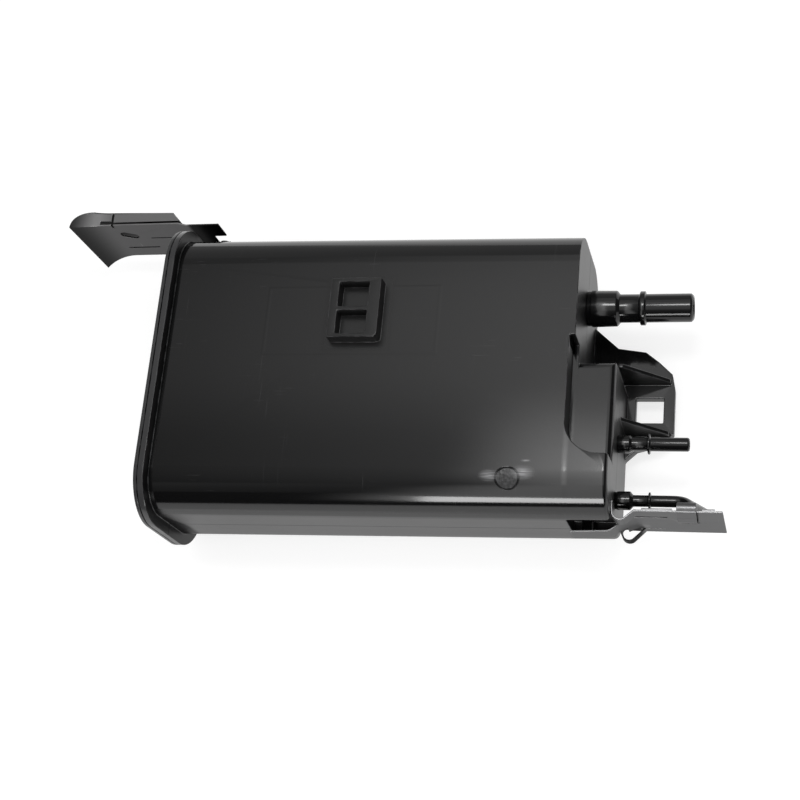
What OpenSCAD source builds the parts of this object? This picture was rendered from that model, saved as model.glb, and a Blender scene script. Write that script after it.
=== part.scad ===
// Charcoal canister of a fuel vapour system: a welded plastic case with two carbon beds, three hose spigots,
// a moulded mounting tab and two sheet steel clips. Millimetres, large face up, spigots towards +X.

/* [Case] */
// Length from the cover's rim to the end wall of the main chamber
body_l = 326; // [310:1:345]
// How much shorter the vent chamber is than the main chamber
vent_short = 25.5; // [24:0.5:28]
// Width of the case at its open end
body_w = 209.8; // [200:0.2:220]
// Height of the case at its open end
body_h = 101.2; // [98:0.2:110]
// Radius of the four long edges
edge_r = 28.4; // [22:0.2:32]
// Wall thickness of the mouldings
wall = 3; // [2.5:0.1:3.4]
// Draft of the two long side walls, in degrees
draft_side = 0.64; // [0.3:0.02:0.8]
// Draft of the two large faces, in degrees
draft_face = 0.3; // [0.1:0.02:0.5]
// Middle of the wall between the two chambers, across the case
partition_y = 12.5; // [10:0.5:16]
// Far side of the main chamber's end, beyond the vent chamber
main_end_y = 8; // [6:0.5:9]
// Rounding of the edges round the two end walls
nose_r = 3; // [1.5:0.5:4]

/* [Rim] */
// How far the welded rim stands out from the case
rim_out = 8.2; // [5:0.2:10]
// Thickness of the cover's rim
cover_rim_t = 2.9; // [2.4:0.1:4]
// Thickness of the case's rim
body_rim_t = 4.7; // [3.5:0.1:6]
// Depth of the dished cover
cover_depth = 10; // [8:0.5:14]
// Gap round pieces that slide into the case
slip = 0.2; // [0.1:0.05:0.3]

/* [Step at the spigot end] */
// Length of the step in the large face, back from the main chamber's end wall
step_l = 29.5; // [29:0.5:36]
// Height of the step's floor above the case's middle
step_z = 29; // [24:0.5:34]
// Near side of the step
step_y = -63; // [-70:1:-58]
// Radius of the step's inner corner
step_r = 22; // [12:1:26]
// Rounding of the step floor's outer edges
ledge_r = 5; // [2:0.5:6]

/* [Raised frame] */
// Size of the frame along the case
frame_l = 36.2; // [30:0.2:44]
// Size of the frame across the case
frame_w = 44.2; // [36:0.2:48]
// Middle of the frame along the case
frame_x = 147.1; // [120:0.1:180]
// Middle of the frame across the case
frame_y = 37.1; // [30:0.1:50]
// Height of the frame above the face
frame_h = 10; // [4:0.5:12]

/* [Spigots] */
// How far the two straight spigots stand out from the main chamber's end wall
spigot_out = 48; // [44:0.5:54]
// Outside diameter of the vent spigot
vent_d = 20; // [16:0.1:22]
// Outside diameter of the tank spigot
tank_d = 9.49; // [7.8:0.01:10]
// Outside diameter of the purge spigot
purge_d = 7.89; // [6:0.01:9]
// Place of the vent spigot across the case
vent_y = 59; // [52:0.5:64]
// Place of the tank spigot across the case
tank_y = -41; // [-46:0.5:-36]
// Place of the purge spigot in from the near side wall
purge_in = 20.25; // [18:0.25:25]
// Bend radius of the purge spigot
elbow_r = 8; // [6:0.5:12]
// How far the purge spigot turns down, in degrees
elbow_a = 66; // [45:1:80]
// Straight length of the purge spigot beyond its bend
elbow_l = 26; // [18:0.5:30]

/* [Mounting tab] */
// How far the tab stands out from the main chamber's end wall
tab_out = 33.4; // [30:0.2:40]
// Thickness of the tab
tab_t = 8; // [6:0.5:9]
// Size of the tab's window along the case
window_l = 19.5; // [14:0.5:22]
// Size of the tab's window across the case
window_w = 18.5; // [14:0.5:22]
// Middle of the tab across the case
tab_y = -3; // [-6:0.5:0]

/* [Steel clips] */
// Sheet thickness of both clips
sheet = 1.2; // [0.8:0.1:1.6]
// Height of the spring clip's plate
plate_h = 49; // [44:0.5:54]
// Length of the spring clip's plate
plate_l = 57.4; // [52:0.2:62]
// Place of the spring clip's plate in from the near side wall
plate_in = 6.66; // [4.5:0.02:8]
// Height of the guide clip's web
web_h = 53; // [48:0.5:58]
// Height of the guide clip's flared mouth
mouth_h = 73; // [66:0.5:80]
// How far the end of the mouth bends towards the case
mouth_in = 5.8; // [3:0.2:7]
// Length of the guide clip beyond the cover
web_out = 92.8; // [86:0.2:100]
// Place of the guide clip's web out from the far side wall
web_off = 17.1; // [15:0.1:20]
// Depth of the guide clip's channel
fold_w = 9.5; // [6:0.5:12]

/* [Filling] */
// Length of the springs that press the carbon
spring_l = 18; // [14:0.5:22]
// Outside diameter of the springs
spring_d = 26; // [20:0.5:30]
// Thickness of the perforated plates
grid_t = 4; // [3:0.1:5]
// Thickness of the fleece pads
pad_t = 5; // [4:0.5:8]

/* [Hidden] */
$fn = 64;

black = [0.13, 0.13, 0.135];
gloss = [0.06, 0.06, 0.065];
steel = [0.43, 0.43, 0.44];
fleece = [0.72, 0.71, 0.68];
carbon = [0.07, 0.07, 0.07];
grid = [0.2, 0.2, 0.2];
wire = [0.6, 0.6, 0.62];

eps = 0.01;
big = 400;
hull_fn = 48;

function half_w(x) = body_w / 2 - x * tan(draft_side);
function half_h(x) = body_h / 2 - x * tan(draft_face);

main_y_max = partition_y - wall / 2;
vent_y_min = partition_y + wall / 2;
purge_y = purge_in - half_w(body_l);
plate_y = plate_in - half_w(body_l);
web_y = body_w / 2 + web_off;

// Places along the case, from the cover to the spigot end
step_x = body_l - step_l;
vent_l = body_l - vent_short;
spigot_end_x = body_l + spigot_out;
plate_x = body_l + 15;
plate_end_x = plate_x + plate_l;
retainer_x = cover_depth + spring_l;
cover_pad_x = retainer_x + grid_t;
bed_x = cover_pad_x + pad_t;
main_grid_x = step_x - wall - 3.5 - grid_t;
main_port_pad_x = main_grid_x - pad_t;
vent_grid_x = vent_l - wall - 3 - grid_t;
vent_port_pad_x = vent_grid_x - pad_t;

// Outermost planes of the whole part, which set its frame
x_min = -web_out;
x_max = plate_end_x;
y_min = -body_w / 2 - rim_out;
y_max = web_y + sheet / 2 + fold_w;
z_min = -body_h / 2 - rim_out;

// Points on an arc, from angle a to angle b
function turn(a, b, i, n) = a + (b - a) * i / n;
function arc(cx, cy, r, a, b, n = 12) =
    [for (i = [0:n]) [cx + r * cos(turn(a, b, i, n)), cy + r * sin(turn(a, b, i, n))]];

// Outline of a strip of thickness t that follows a path
function unit(v) = v / norm(v);
function tangent(p, i) = unit(p[min(i + 1, len(p) - 1)] - p[max(i - 1, 0)]);
function side_point(p, i, d) = p[i] + d * [-tangent(p, i)[1], tangent(p, i)[0]];
function ribbon(p, t) = concat(
    [for (i = [0:len(p) - 1]) side_point(p, i, t / 2)],
    [for (i = [len(p) - 1:-1:0]) side_point(p, i, -t / 2)]);

// Moves the part so that its box stands centred on the origin
module place() {
    translate([-(x_min + x_max) / 2, -(y_min + y_max) / 2, -z_min]) children();
}

// Stands a Y-Z section up at x, t thick along X
module along_x(x, t) {
    translate([x, 0, 0]) rotate([90, 0, 90]) linear_extrude(t) children();
}

// Draws an X-Z outline as a plate from y to y + t
module along_y(y, t) {
    translate([0, y + t, 0]) rotate([90, 0, 0]) linear_extrude(t) children();
}

// Draws an X-Y outline from z to z + t
module along_z(z, t) {
    translate([0, 0, z]) linear_extrude(t) children();
}

module rounded(w, h, r) {
    square([w - 2 * r, h], center = true);
    square([w, h - 2 * r], center = true);
    for (sy = [-1, 1], sz = [-1, 1]) translate([sy * (w / 2 - r), sz * (h / 2 - r)]) circle(r);
}

// Section of the case at x, drawn in from its outside by inset
module case_section(x, inset) {
    rounded(2 * (half_w(x) - inset), 2 * (half_h(x) - inset), edge_r - inset);
}

// Section of the welded rim
module rim_section() {
    rounded(body_w + 2 * rim_out, body_h + 2 * rim_out, edge_r + rim_out);
}

// The drafted case from x0 to x1, drawn in by inset
module drafted(x0, x1, inset) {
    hull() {
        along_x(x0, eps) case_section(x0, inset, $fn = hull_fn);
        along_x(x1 - eps, eps) case_section(x1, inset, $fn = hull_fn);
    }
}

// The drafted case from the rim to x1, its end edge rounded
module nosed(x1) {
    hull() {
        along_x(cover_rim_t, eps) case_section(cover_rim_t, 0, $fn = hull_fn);
        for (a = [0:30:90])
            along_x(x1 - nose_r * (1 - sin(a)) - eps, eps)
                case_section(x1, nose_r * (1 - cos(a)), $fn = hull_fn);
    }
}

// Keeps the main or the vent side of the case
module main_side(gap = 0) {
    intersection() {
        children();
        translate([-big, -big, -big]) cube([2 * big, big + main_y_max - gap, 2 * big]);
    }
}
module vent_side(gap = 0) {
    intersection() {
        children();
        translate([-big, vent_y_min + gap, -big]) cube([2 * big, big, 2 * big]);
    }
}

// Space of the step in the large face, grown on all sides
module step_space(grow) {
    far_y = main_end_y + 12;
    along_z(step_z - grow, big) {
        translate([step_x - grow, step_y + step_r]) square([big, far_y - step_y - step_r]);
        translate([step_x + step_r, step_y - grow]) square([big, step_r + grow]);
        translate([step_x + step_r, step_y + step_r]) circle(step_r + grow);
    }
}

// Space beyond the vent chamber's end wall
module end_space(grow) {
    translate([vent_l - grow, main_end_y - grow, -big / 2]) cube(big);
}

// Rounds the outer edges of the step's floor
module ledge_rounding() {
    along_y(step_y, main_end_y + 1 - step_y) translate([body_l - ledge_r, step_z - ledge_r]) difference() {
        square(2 * ledge_r);
        circle(ledge_r);
    }
    along_x(vent_l - 1, big) translate([main_end_y - ledge_r, step_z - ledge_r]) difference() {
        square(2 * ledge_r);
        circle(ledge_r);
    }
}

// Pocket in the near side wall for the spring clip's arm
pocket_x = body_l - 29;
pocket_top = 22;
pocket_bottom = -10;
pocket_depth = 8;
module arm_pocket(grow) {
    floor_y = -half_w(body_l) + pocket_depth + grow;
    translate([pocket_x - grow, floor_y - big, pocket_bottom - grow])
        cube([big, big, pocket_top - pocket_bottom + 2 * grow]);
}

// Rows of windows in the perforated plates, centred in each chamber
window_pitch = 13;
window_size = 9;
window_edge = 11;
main_mid_y = (main_y_max + wall - body_w / 2) / 2;
vent_mid_y = (vent_y_min - wall + body_w / 2) / 2;
main_windows = floor((main_y_max + body_w / 2 - window_edge) / window_pitch);
vent_windows = floor((body_w / 2 - vent_y_min - window_edge) / window_pitch);
main_window_y = main_mid_y - (main_windows - 1) / 2 * window_pitch;
vent_window_y = vent_mid_y - (vent_windows - 1) / 2 * window_pitch;
function bar_y(i) = main_window_y + (i + 0.5) * window_pitch;

// Posts and a baffle at the spigot end of the main chamber
post_d = 8;
baffle_y = (tank_y + purge_y) / 2;
module main_stops() {
    near_post_y = purge_y - 11;
    high = step_z + 9;
    for (p = [[near_post_y, -2], [bar_y(5), -26], [bar_y(2), -26], [bar_y(5), high], [bar_y(3), high]])
        translate([main_grid_x + grid_t, p[0], p[1]]) rotate([0, 90, 0]) cylinder(d = post_d, h = big / 4);
    translate([main_grid_x + grid_t, baffle_y - wall / 2, -big / 2]) cube([big / 4, wall, big]);
}

module vent_stops() {
    for (sy = [-1, 1], sz = [-1, 1])
        translate([vent_grid_x + grid_t, vent_y + sy * 24, sz * 24]) rotate([0, 90, 0])
            cylinder(d = post_d, h = big / 4);
}

module main_cavity() {
    difference() {
        main_side() drafted(cover_depth, body_l - wall, wall);
        step_space(wall);
        end_space(wall);
        arm_pocket(wall);
        main_stops();
    }
}

module vent_cavity() {
    difference() {
        vent_side() drafted(cover_depth, vent_l - wall, wall);
        vent_stops();
    }
}

// Tab that stands out below the spigots, with its window, two gussets and cored underside
tab_x = body_l + tab_out;
tab_top = 10 - half_h(body_l);
tab_bottom = tab_top - tab_t;
gusset_gap = 39;
gusset_t = 3;
module tab() {
    near = tab_y - 37;
    far = tab_y + 46;
    difference() {
        along_z(tab_bottom, tab_t) polygon([
            [vent_l - wall, near], [body_l, near], [body_l + 8, near + 7.5], [body_l + 17, near + 10],
            [tab_x - 8, near + 12], [tab_x, near + 20], [tab_x, far - 30], [tab_x - 2.2, far - 18.5],
            [tab_x - 11.5, far - 9.5], [tab_x - 21.5, far - 1.5], [body_l - 8, far + 1.5],
            [vent_l - wall, far + 20]]);
        translate([body_l + 16, tab_y, tab_bottom]) cube([window_l, window_w, 3 * tab_t], center = true);
        for (y = [tab_y - 26, tab_y + 14])
            translate([body_l + 6, y, tab_bottom - eps]) cube([tab_out - 14, 12, tab_t - wall]);
    }
    for (y = [tab_y - gusset_gap / 2, tab_y + gusset_gap / 2])
        along_y(y, gusset_t) polygon([
            [body_l - wall, tab_top - wall], [tab_x - 3, tab_top - wall], [tab_x - 3, tab_top + 4],
            [body_l, tab_top + 34], [body_l - wall, tab_top + 34]]);
}

// Raised frame with two windows on the large face
frame_left = 6.2;
frame_right = 8.6;
frame_bar = 2.9;
frame_corner = 3.5;
module face_frame() {
    base = half_h(frame_x);
    x0 = frame_x - frame_l / 2;
    x1 = frame_x + frame_l / 2;
    y0 = frame_y - frame_w / 2;
    y1 = frame_y + frame_w / 2;
    mid = frame_y - 0.6;
    along_z(base - wall / 2, frame_h + wall / 2) difference() {
        union() {
            translate([x0, y0 + frame_corner]) square([frame_l, frame_w - frame_corner]);
            translate([x0, y0]) square([frame_l - frame_corner, frame_w]);
            translate([x1 - frame_corner, y0 + frame_corner]) circle(frame_corner);
        }
        for (w = [[y0 + frame_bar, mid - frame_bar / 2], [mid + frame_bar / 2, y1 - frame_bar]])
            translate([x0 + frame_left, w[0]]) square([frame_l - frame_left - frame_right, w[1] - w[0]]);
    }
}

// Stand-off with two stakes that carries the guide clip on the far side wall
lug_x = [8, 21];
lug_z = [-25, -8];
stake_x = (lug_x[0] + lug_x[1]) / 2;
stake_z = [-20.5, -12.5];
stake_d = 4;
web_in = web_y - sheet / 2;
web_back = web_y + sheet / 2;
module clip_lug() {
    y0 = half_w(lug_x[1]) - wall / 2;
    translate([lug_x[0], y0, lug_z[0]]) cube([lug_x[1] - lug_x[0], web_in - y0, lug_z[1] - lug_z[0]]);
    for (z = stake_z) translate([stake_x, web_in - wall, z]) rotate([-90, 0, 0]) {
        cylinder(d = stake_d, h = wall + sheet + eps);
        translate([0, 0, wall + sheet]) cylinder(d = 1.8 * stake_d, h = 1.6);
    }
}

// Rest behind the spring clip's arm; it follows the arm's slope
rest_x = body_l - 21;
rest_z = 2;
rest_size = 7;
rest_gap = 0.05;
module arm_rest() {
    floor_y = -half_w(body_l) + pocket_depth + wall / 2;
    face = sheet / 2 + rest_gap;
    along_z(rest_z - rest_size / 2, rest_size) polygon([
        [rest_x, arm_y(rest_x) + face], [rest_x + rest_size, arm_y(rest_x + rest_size) + face],
        [rest_x + rest_size, floor_y], [rest_x, floor_y]]);
}

module canister_body() {
    color(black) place() {
        difference() {
            union() {
                difference() {
                    nosed(body_l);
                    step_space(0);
                    end_space(0);
                    arm_pocket(0);
                    ledge_rounding();
                }
                difference() {
                    nosed(vent_l);
                    step_space(0);
                    arm_pocket(0);
                }
                along_x(cover_rim_t, body_rim_t) rim_section();
            }
            drafted(cover_rim_t - eps, cover_depth + eps, wall);
            main_cavity();
            vent_cavity();
            shank_hole(vent_l, vent_y, vent_d);
            shank_hole(body_l, tank_y, tank_d);
            shank_hole(body_l, purge_y, purge_d);
        }
        tab();
        face_frame();
        clip_lug();
        arm_rest();
    }
}

// Cover: a flat rim and a dished panel with ribs
module end_cover() {
    inset = wall + slip;
    floor_t = 2.5;
    rib_t = 2;
    color(black) place() {
        difference() {
            union() {
                along_x(0, cover_rim_t) rim_section();
                along_x(cover_rim_t - eps, cover_depth - cover_rim_t + eps) case_section(cover_depth, inset);
            }
            along_x(-eps, cover_depth - floor_t + eps) case_section(cover_depth, inset + floor_t);
        }
        along_x(1, cover_depth - 1 - floor_t / 2) intersection() {
            case_section(cover_depth, inset + floor_t / 2);
            union() {
                for (y = [-72, -36, 0, 36, 72]) translate([y, 0]) square([rib_t, big], center = true);
                for (z = [-20, 20]) translate([0, z]) square([big, rib_t], center = true);
            }
        }
        for (p = spring_places) translate([cover_depth - eps, p, 0]) rotate([0, 90, 0])
            cylinder(d = spring_d - 2 * spring_wire - 1, h = 5);
    }
}

// Hole in an end wall for a spigot's shank
function shank_d(d) = d + 1.6;
module shank_hole(x, y, d) {
    translate([x - wall - eps, y, 0]) rotate([0, 90, 0]) cylinder(d = shank_d(d) + slip, h = wall + 2 * eps);
}

// Spigot: shank in the wall, collar, tube with a stop bead and a chamfered mouth. The profile is [x, radius].
module spigot_solid(y, profile) {
    last = profile[len(profile) - 1][0];
    translate([0, y, 0]) rotate([0, 90, 0]) rotate_extrude()
        polygon(concat([for (p = profile) [p[1], p[0]]], [[0, last], [0, profile[0][0]]]));
}
module spigot_bore(x0, x1, y, bore) {
    translate([x0, y, 0]) rotate([0, 90, 0]) cylinder(d = bore, h = x1 - x0);
}
module spigot(y, profile, bore) {
    difference() {
        spigot_solid(y, profile);
        spigot_bore(profile[0][0] - 1, profile[len(profile) - 1][0] + 1, y, bore);
    }
}

vent_bead_x = vent_l + 36.5;
module vent_spigot() {
    r = vent_d / 2;
    neck = vent_l + 3;
    collar = vent_l + 20.8;
    color(gloss) place() spigot(vent_y, [
        [vent_l - wall, shank_d(vent_d) / 2], [vent_l, shank_d(vent_d) / 2], [vent_l, r + 2.2], [neck, r + 2.2],
        [neck, r + 2.9], [collar, r + 2.6], [collar + 2, r], [vent_bead_x, r], [vent_bead_x + 0.4, r + 2],
        [vent_bead_x + 3.9, r + 2], [vent_bead_x + 4.3, r], [spigot_end_x - 1.6, r], [spigot_end_x, r - 1.5]],
        vent_d - 4.4);
}

tank_bead_x = body_l + 20;
module tank_spigot() {
    r = tank_d / 2;
    color(gloss) place() spigot(tank_y, [
        [body_l - wall, shank_d(tank_d) / 2], [body_l, shank_d(tank_d) / 2], [body_l, r + 1.6],
        [body_l + 8, r + 1.4], [body_l + 9.5, r], [tank_bead_x, r], [tank_bead_x + 0.3, r + 2.2],
        [tank_bead_x + 1.7, r + 2.2],
        [tank_bead_x + 2, r], [spigot_end_x - 1, r], [spigot_end_x, r - 0.8]], tank_d - 3.4);
}

purge_bead_x = body_l + 22;
bend_x = body_l + 39;
bend_lap = 0.4;
bend_thin = 0.1;

// Bend of the purge spigot and the leg beyond it; the leg laps a little way over the bend
module bent_leg(d, leg_l) {
    translate([bend_x, purge_y, -elbow_r]) rotate([90, elbow_a - 90, 0]) {
        rotate_extrude(angle = elbow_a) translate([elbow_r, 0]) circle(d = d - bend_thin);
        translate([elbow_r, bend_lap, 0]) rotate([90, 0, 0]) cylinder(d = d, h = leg_l + bend_lap);
    }
}

module purge_spigot() {
    r = purge_d / 2;
    bore = purge_d - 2.8;
    color(gloss) place() difference() {
        union() {
            spigot_solid(purge_y, [
                [body_l - wall, shank_d(purge_d) / 2], [body_l, shank_d(purge_d) / 2], [body_l, r + 1.8],
                [body_l + 2, r + 2.4], [body_l + 10, r + 2.4], [body_l + 12, r], [purge_bead_x, r],
                [purge_bead_x + 0.3, r + 2], [purge_bead_x + 1.4, r + 2], [purge_bead_x + 1.7, r],
                [bend_x + bend_lap, r]]);
            bent_leg(purge_d, elbow_l);
        }
        spigot_bore(body_l - wall - 1, bend_x + bend_lap, purge_y, bore);
        bent_leg(bore, elbow_l + 1);
    }
}

// Guide clip: a channel of bent sheet, open along a slit, with slots and a mouth that flares like a trumpet
mouth_x = -web_out;
flare_l = 28.8;
flare_x = mouth_x + flare_l;
web_top = web_h / 2;
mouth_up = (mouth_h - web_h) / 2;
bend_y_r = (flare_l * flare_l + mouth_in * mouth_in) / (2 * mouth_in);
bend_z_r = (flare_l * flare_l + mouth_up * mouth_up) / (2 * mouth_up);
web_end_x = 22;
web_step_z = 4;
lip_gap = 1.4;
mouth_gap = 2.4;
gap_x = flare_x - 8.5;
back_x = flare_x - 17.5;
channel_x = -14;
channel_end_x = -9;
far_taper = 1.2;

// Side view of the web
module guide_outline() {
    rise = asin(flare_l / bend_z_r);
    polygon(concat(
        arc(flare_x, web_top + bend_z_r, bend_z_r, 270 - rise, 270, 8),
        [[channel_end_x, web_top], [-4, web_top - 3.5], [web_end_x, web_top - 3.5], [web_end_x, web_step_z],
            [lug_x[0] + 4, web_step_z], [lug_x[0] + 4, lug_z[1]], [lug_x[1], lug_z[1]], [lug_x[1], -web_top]],
        arc(flare_x, -web_top - bend_z_r, bend_z_r, 90, 90 + rise, 8)));
}

// Band of sheet bent round an arc that starts at the flare
module flare_band(r) {
    intersection() {
        difference() {
            circle(r + sheet / 2, $fn = 180);
            circle(r - sheet / 2, $fn = 180);
        }
        translate([-flare_l - 1, 0]) square([flare_l + 1, 2 * r]);
    }
}

module guide_web() {
    difference() {
        intersection() {
            along_z(-big / 2, big) {
                translate([flare_x, web_in]) square([big / 2, sheet]);
                translate([flare_x, web_y - bend_y_r]) flare_band(bend_y_r);
            }
            along_y(web_y - 30, 60) guide_outline();
        }
        for (z = stake_z) translate([stake_x, web_in - 1, z]) rotate([-90, 0, 0])
            cylinder(d = stake_d + slip, h = sheet + 2);
        along_y(web_y - 5, 10) {
            translate([flare_x + 8.5, 9]) rotate(-28) {
                square([7, 7.4], center = true);
                for (side = [-1, 1]) translate([3.5 * side, 0]) circle(3.7);
            }
            translate([flare_x + 24, 3]) square([17, 1.2]);
            translate([flare_x - 1, -13]) square([26, 1.6]);
        }
        translate([flare_x, web_y - 5, web_top - 5]) cube([1.8, 10, 10]);
    }
}

// Plan of the flared mouth, its far corner rounded
module mouth_plan() {
    far_r = y_max - web_y + mouth_in;
    translate([mouth_x + far_r, web_y - 10]) square([flare_l - far_r, y_max - web_y + 10]);
    translate([mouth_x, web_y - 10]) square([far_r, 10 - mouth_in]);
    translate([mouth_x + far_r, y_max - far_r]) circle(far_r);
}

// Lip along the top of the channel, its left part flared with the mouth
module guide_lip() {
    along_z(web_top - sheet, sheet) polygon([
        [flare_x + 1.8, web_back + lip_gap], [flare_x + 1.8, y_max], [channel_x, y_max - far_taper],
        [channel_end_x, web_back + lip_gap + 1], [channel_end_x, web_back + lip_gap]]);
    intersection() {
        translate([0, 0, web_top - sheet / 2 + bend_z_r]) mirror([0, 0, 1]) along_y(web_y - 20, 60)
            translate([flare_x, 0]) flare_band(bend_z_r);
        along_z(-big / 2, big) difference() {
            mouth_plan();
            translate([flare_x, web_y - bend_y_r]) circle(bend_y_r - sheet / 2, $fn = 180);
            translate([gap_x, web_y - 10]) square([big, 10 + sheet / 2 + mouth_gap]);
        }
    }
}

// Wall behind the web and floor between the two
module guide_back() {
    intersection() {
        along_z(-big / 2, big) {
            polygon([
                [flare_x, y_max - sheet], [flare_x, y_max], [flare_x + 1.8, y_max],
                [channel_x, y_max - far_taper], [channel_x, y_max - far_taper - sheet],
                [flare_x + 1.8, y_max - sheet]]);
            intersection() {
                mouth_plan();
                translate([back_x, y_max - sheet]) square([flare_x - back_x, sheet]);
            }
        }
        along_y(web_y - 30, 60) guide_outline();
    }
    along_z(-web_top, sheet) polygon([
        [flare_x, web_in], [flare_x, y_max], [flare_x + 1.8, y_max], [channel_x, y_max - far_taper],
        [channel_end_x, web_back + 2], [channel_end_x, web_in]]);
}

module guide_clip() {
    color(steel) place() {
        guide_web();
        guide_lip();
        guide_back();
    }
}

// Spring clip: an upright plate whose left end is slit into a hook, an arm and an eye
plate_top = plate_h / 2;
hook_z = 12.2;
eye_z = -17;
arm_z = [-6.5, 10.2];
slit_l = 21;
arm_tip_x = pocket_x + 1;
arm_x = body_l - 3;
arm_root_y = plate_y - 10;
function arm_y(x) = arm_root_y - (arm_x - x) * 0.04;

module strip(path, z0, z1) {
    along_z(z0, z1 - z0) polygon(ribbon(path, sheet));
}

module spring_plate() {
    difference() {
        translate([plate_x, plate_y - sheet / 2, -plate_top]) cube([plate_end_x - plate_x, sheet, plate_h]);
        along_y(plate_y - 5, 10) {
            translate([plate_x - 1, arm_z[1]]) square([slit_l + 1, hook_z - arm_z[1]]);
            translate([plate_x - 1, -big]) square([slit_l - 1, big + eye_z + 0.4]);
            polygon(concat(arc(tongue_mid, 8.6, 12, 234, 306), arc(tongue_mid, 8.6, 9.4, 306, 234)));
        }
    }
    for (lip = [[plate_x + 5, tongue_x - 3], [tongue_x + tongue_w + 3.5, plate_end_x - 5]])
        translate([lip[0], plate_y - sheet / 2, plate_top - sheet]) cube([lip[1] - lip[0], 2 * sheet, sheet]);
}

// Tongue pressed out of the plate, rolled over its top edge
tongue_x = plate_x + 28;
tongue_w = 12.6;
tongue_mid = tongue_x + tongue_w / 2;
module tongue() {
    path = concat(
        [[plate_y, 1.5], [plate_y - 1, 4.5]],
        arc(plate_y + 6, 14, 10, 205, 150, 6),
        arc(plate_y + 1.5, plate_top + 0.5, 3.6, 150, -10, 8));
    along_x(tongue_x, tongue_w) polygon(ribbon(path, sheet));
}

module spring_clip() {
    hook_face = body_l + sheet / 2;
    hook = concat(
        [[plate_x + 2, plate_y], [plate_x, plate_y]],
        arc(body_l + 6.2, plate_y - 0.6, 5.4, 300, 180, 8),
        [[hook_face, plate_y + 1.5], [hook_face, plate_y + 7]]);
    arm = [
        [plate_x + 2, plate_y], [plate_x, plate_y], [body_l + 8, plate_y - 3], [body_l + 3, plate_y - 6],
        [body_l - 0.5, plate_y - 8.8], [arm_x, arm_y(arm_x)], [arm_tip_x, arm_y(arm_tip_x)]];
    eye_x = body_l + 8;
    eye = concat(
        [[plate_x + 26, plate_y], [plate_x + 4, plate_y]],
        arc(eye_x, plate_y - 4.4, 4.7, 320, 215, 8),
        arc(eye_x - 2.2, plate_y - 2.6, 3.3, 205, 90, 8),
        [[eye_x + 2, plate_y + 0.2]]);
    eye_end = [[eye_x + 1, plate_y + 0.2], [plate_x, plate_y], [plate_x + 4, plate_y]];
    color(steel) place() {
        spring_plate();
        strip(hook, hook_z, plate_top);
        strip(arm, arm_z[0], arm_z[1]);
        strip([for (i = [0:2]) arm[i]], eye_z + 0.4, arm_z[0] + 1);
        strip(eye, -plate_top, eye_z - 0.4);
        strip(eye_end, -plate_top, eye_z - 0.4);
        tongue();
    }
}

// Pieces that fill a chamber from x to x + t
module main_fill(x, t) {
    main_side(slip) drafted(x, x + t, wall + slip);
}
module vent_fill(x, t) {
    vent_side(slip) drafted(x, x + t, wall + slip);
}

// Square windows of a perforated plate
module windows(x, y0, count) {
    size = window_size;
    for (i = [0:count - 1], j = [-2:2])
        translate([x - 1, y0 + i * window_pitch - size / 2, j * window_pitch - size / 2])
            cube([grid_t + 2, size, size]);
}

module main_carbon_bed() { color(carbon) place() main_fill(bed_x, main_port_pad_x - bed_x); }
module vent_carbon_bed() { color(carbon) place() vent_fill(bed_x, vent_port_pad_x - bed_x); }
module main_cover_pad() { color(fleece) place() main_fill(cover_pad_x, pad_t); }
module main_port_pad() { color(fleece) place() main_fill(main_port_pad_x, pad_t); }
module vent_cover_pad() { color(fleece) place() vent_fill(cover_pad_x, pad_t); }
module vent_port_pad() { color(fleece) place() vent_fill(vent_port_pad_x, pad_t); }

// Retainers press the beds; their closed discs take the springs
module main_retainer() {
    color(grid) place() {
        difference() {
            main_fill(retainer_x, grid_t);
            windows(retainer_x, main_window_y, main_windows);
        }
        for (y = [spring_places[0], spring_places[1]]) spring_seat(y);
    }
}
module vent_retainer() {
    color(grid) place() {
        difference() {
            vent_fill(retainer_x, grid_t);
            windows(retainer_x, vent_window_y, vent_windows);
        }
        spring_seat(spring_places[2]);
    }
}
module spring_seat(y) {
    translate([retainer_x, y, 0]) rotate([0, 90, 0]) cylinder(d = spring_d + 2, h = grid_t);
}

module main_grid() {
    color(grid) place() difference() {
        main_fill(main_grid_x, grid_t);
        windows(main_grid_x, main_window_y, main_windows);
    }
}
module vent_grid() {
    color(grid) place() difference() {
        vent_fill(vent_grid_x, grid_t);
        windows(vent_grid_x, vent_window_y, vent_windows);
    }
}

// Coil spring of square wire between the cover and a retainer
spring_gap = 25;
spring_places = [main_mid_y - spring_gap, main_mid_y + spring_gap, vent_mid_y];
spring_wire = 2;
spring_turns = 4;
module coil(y) {
    pitch = spring_l / spring_turns;
    sweep = 360 * spring_wire / pitch;
    r = spring_d / 2;
    color(wire) place() translate([cover_depth, y, 0]) rotate([0, 90, 0])
        linear_extrude(spring_l, twist = -360 * (spring_turns - spring_wire / pitch), slices = 64, $fn = 8)
            polygon(concat(arc(0, 0, r, 0, sweep, 5), arc(0, 0, r - spring_wire, sweep, 0, 5)));
}
module main_spring_near() { coil(spring_places[0]); }
module main_spring_far() { coil(spring_places[1]); }
module vent_spring() { coil(spring_places[2]); }

canister_body();
end_cover();
vent_spigot();
tank_spigot();
purge_spigot();
guide_clip();
spring_clip();
main_carbon_bed();
vent_carbon_bed();
main_cover_pad();
main_port_pad();
vent_cover_pad();
vent_port_pad();
main_retainer();
vent_retainer();
main_grid();
vent_grid();
main_spring_near();
main_spring_far();
vent_spring();
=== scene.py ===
import math
import bmesh
import bpy
from mathutils import Matrix, Vector
from mathutils.bvhtree import BVHTree


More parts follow.
